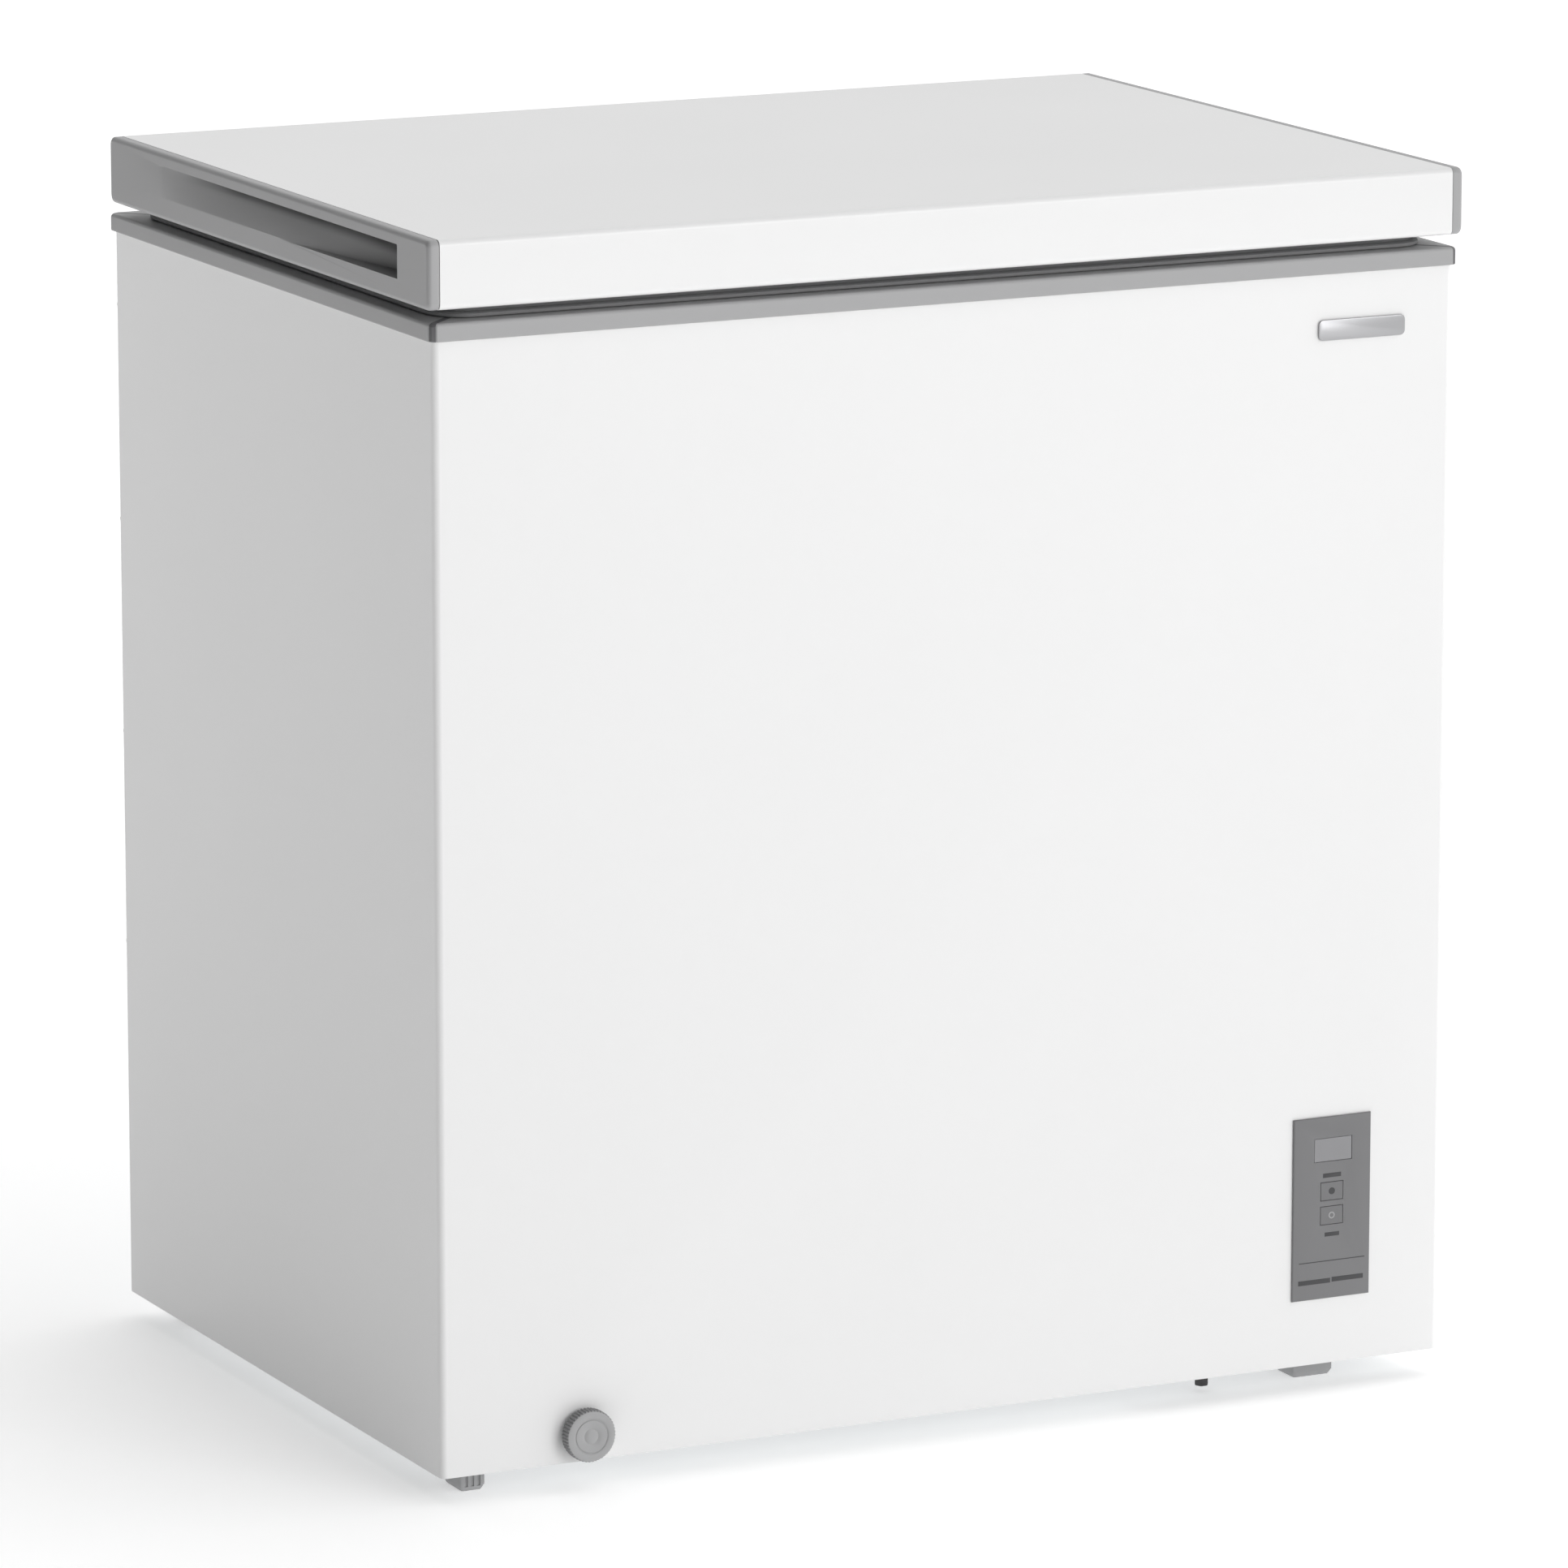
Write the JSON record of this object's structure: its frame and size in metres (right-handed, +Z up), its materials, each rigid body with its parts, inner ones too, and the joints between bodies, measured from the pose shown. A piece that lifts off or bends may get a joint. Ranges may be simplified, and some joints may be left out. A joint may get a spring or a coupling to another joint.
{
  "type": "chest freezer",
  "caption": "Small white chest freezer with a hinged lid, grey end caps with scooped grips, a front control plate with display, a drain dial and a hung basket.",
  "frame": {"origin": "On the floor, at the middle of the freezer's footprint, hinges and drain dial included.", "axes": "+Z up, -Y out of the front, +X to the right of someone facing the front."},
  "size_m": [0.76, 0.574, 0.838],
  "materials": {
    "white_steel": "white enamel, satin",
    "grey_plastic": "fine-grained mid grey",
    "dark_plastic": "dark grey",
    "white_plastic": "white, smooth",
    "gasket_rubber": "soft dark grey",
    "galvanised": "zinc coated, dull",
    "liner": "pebbled light coating",
    "foam": "pale yellow rigid foam",
    "copper": "bare copper",
    "black_paint": "black enamel",
    "black_rubber": "black",
    "window": "smooth tinted window",
    "board": "circuit board",
    "zinc": "bright zinc plate",
    "wire": "white dipped coating",
    "badge_metal": "plain satin"
  },
  "bodies": {
    "cabinet": {"outer_shell": "white_steel", "rear_panel": "galvanised", "base_pan": "galvanised", "compressor_tray": "galvanised", "rear_cover": "galvanised", "foam_insulation": "foam", "inner_liner": "liner", "rim_front": "grey_plastic", "rim_rear": "grey_plastic", "rim_left": "grey_plastic", "rim_right": "grey_plastic", "rim_corner_front_left": "dark_plastic", "rim_corner_front_right": "dark_plastic", "rim_corner_rear_left": "dark_plastic", "rim_corner_rear_right": "dark_plastic", "control_bezel": "grey_plastic", "display_window": "window", "control_housing": "dark_plastic", "control_board": "board", "badge": "badge_metal", "wiring_harness": "dark_plastic", "drain_bush": "grey_plastic", "drain_tube": "white_plastic", "foot_front_left": "grey_plastic", "foot_front_right": "grey_plastic", "foot_rear_left": "grey_plastic", "foot_rear_right": "grey_plastic", "tray_bolt": "zinc", "compressor": "black_paint", "compressor_mount_1": "black_rubber", "compressor_mount_2": "black_rubber", "compressor_mount_3": "black_rubber", "compressor_mount_4": "black_rubber", "relay_cover": "dark_plastic", "filter_drier": "copper", "evaporator_coil": "copper", "condenser_coil": "copper", "capillary_tube": "copper", "cord_gland": "black_rubber", "hinge_base_left": "zinc", "hinge_base_right": "zinc", "hinge_pin_left": "zinc", "hinge_pin_right": "zinc", "hinge_spring_left": "black_paint", "hinge_spring_right": "black_paint"},
    "lid": {"lid_panel": "white_steel", "lid_cap_left": "grey_plastic", "lid_cap_right": "grey_plastic", "lid_foam": "foam", "lid_liner": "white_plastic", "lid_gasket": "gasket_rubber", "hinge_leaf_left": "zinc", "hinge_leaf_right": "zinc"},
    "up_key": {"up_key": "grey_plastic"},
    "down_key": {"down_key": "grey_plastic"},
    "drain_spout": {"drain_spout": "grey_plastic"},
    "drain_dial": {"drain_dial": "grey_plastic"},
    "tub_drain_plug": {"tub_drain_plug": "black_rubber"},
    "basket": {"basket": "wire", "basket_floor": "wire"}
  },
  "joints": [
    {"name": "lid_hinge", "type": "hinge", "parent": "cabinet", "child": "lid", "pos_m": [0, 0.2775, 0.79], "axis": [-1, 0, 0], "range_deg": [0, 80], "stiffness_Nm_per_rad": 3.5, "springref_deg": 80.21},
    {"name": "up_key_press", "type": "slide", "parent": "cabinet", "child": "up_key", "axis": [0, 1, 0], "range_m": [0, 0.0006], "stiffness_N_per_m": 800},
    {"name": "down_key_press", "type": "slide", "parent": "cabinet", "child": "down_key", "axis": [0, 1, 0], "range_m": [0, 0.0006], "stiffness_N_per_m": 800},
    {"name": "drain_pull", "type": "slide", "parent": "cabinet", "child": "drain_spout", "axis": [0, -1, 0], "range_m": [0, 0.02]},
    {"name": "drain_turn", "type": "hinge", "parent": "drain_spout", "child": "drain_dial", "pos_m": [-0.272, -0.275, 0.0375], "axis": [0, -1, 0], "range_deg": [0, 180]},
    {"name": "plug_lift", "type": "slide", "parent": "cabinet", "child": "tub_drain_plug", "axis": [0, 0, 1], "range_m": [0, 0.06]},
    {"name": "basket_slide", "type": "slide", "parent": "cabinet", "child": "basket", "axis": [1, 0, 0], "range_m": [-0.38, 0]}
  ]
}
